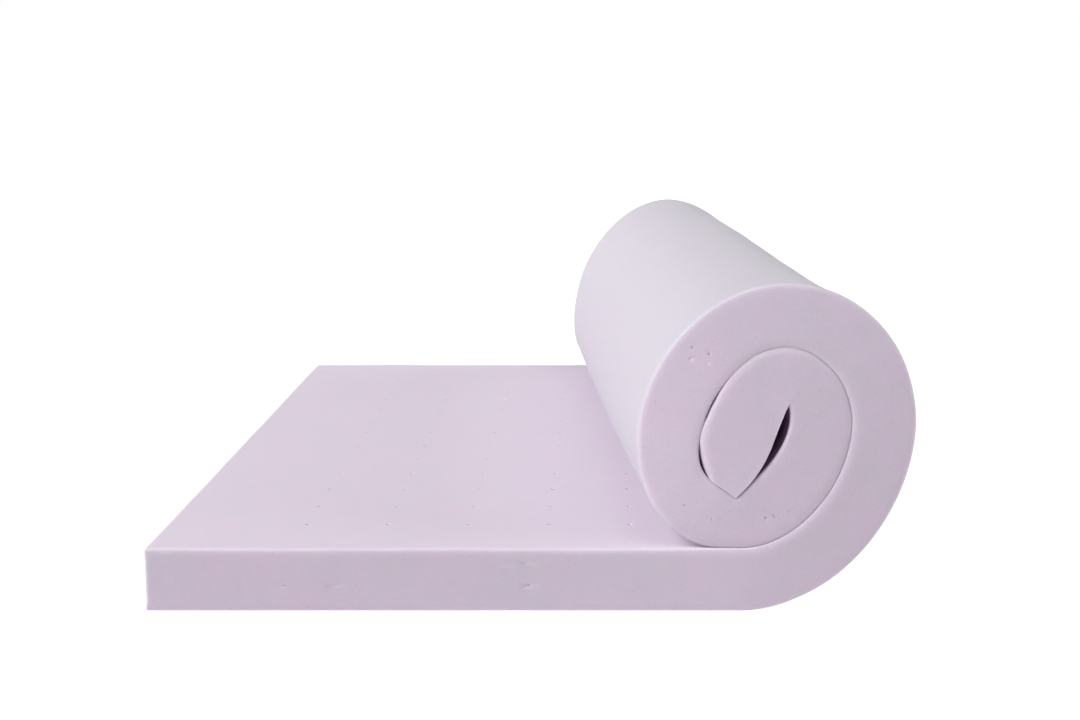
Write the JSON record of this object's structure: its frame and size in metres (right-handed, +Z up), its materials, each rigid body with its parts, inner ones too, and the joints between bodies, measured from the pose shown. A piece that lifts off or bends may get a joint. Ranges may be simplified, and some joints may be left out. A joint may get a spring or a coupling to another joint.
{
  "type": "mattress topper",
  "caption": "Memory foam mattress topper with punched vent holes, part of it lying flat and the rest rolled up.",
  "frame": {"origin": "centre of the bounding box, at the level of the underside that the topper lies on", "axes": "+X along the slab's length, from its free cut end towards the roll; +Y across its width, from the front cut face to the back one; +Z up, the way the sleeping face of the flat run faces"},
  "size_m": [0.9218, 1.3716, 0.3957],
  "materials": {
    "foam": "matte open-cell foam, pale lavender"
  },
  "bodies": {
    "root": {"foam_slab": "foam"}
  },
  "joints": []
}
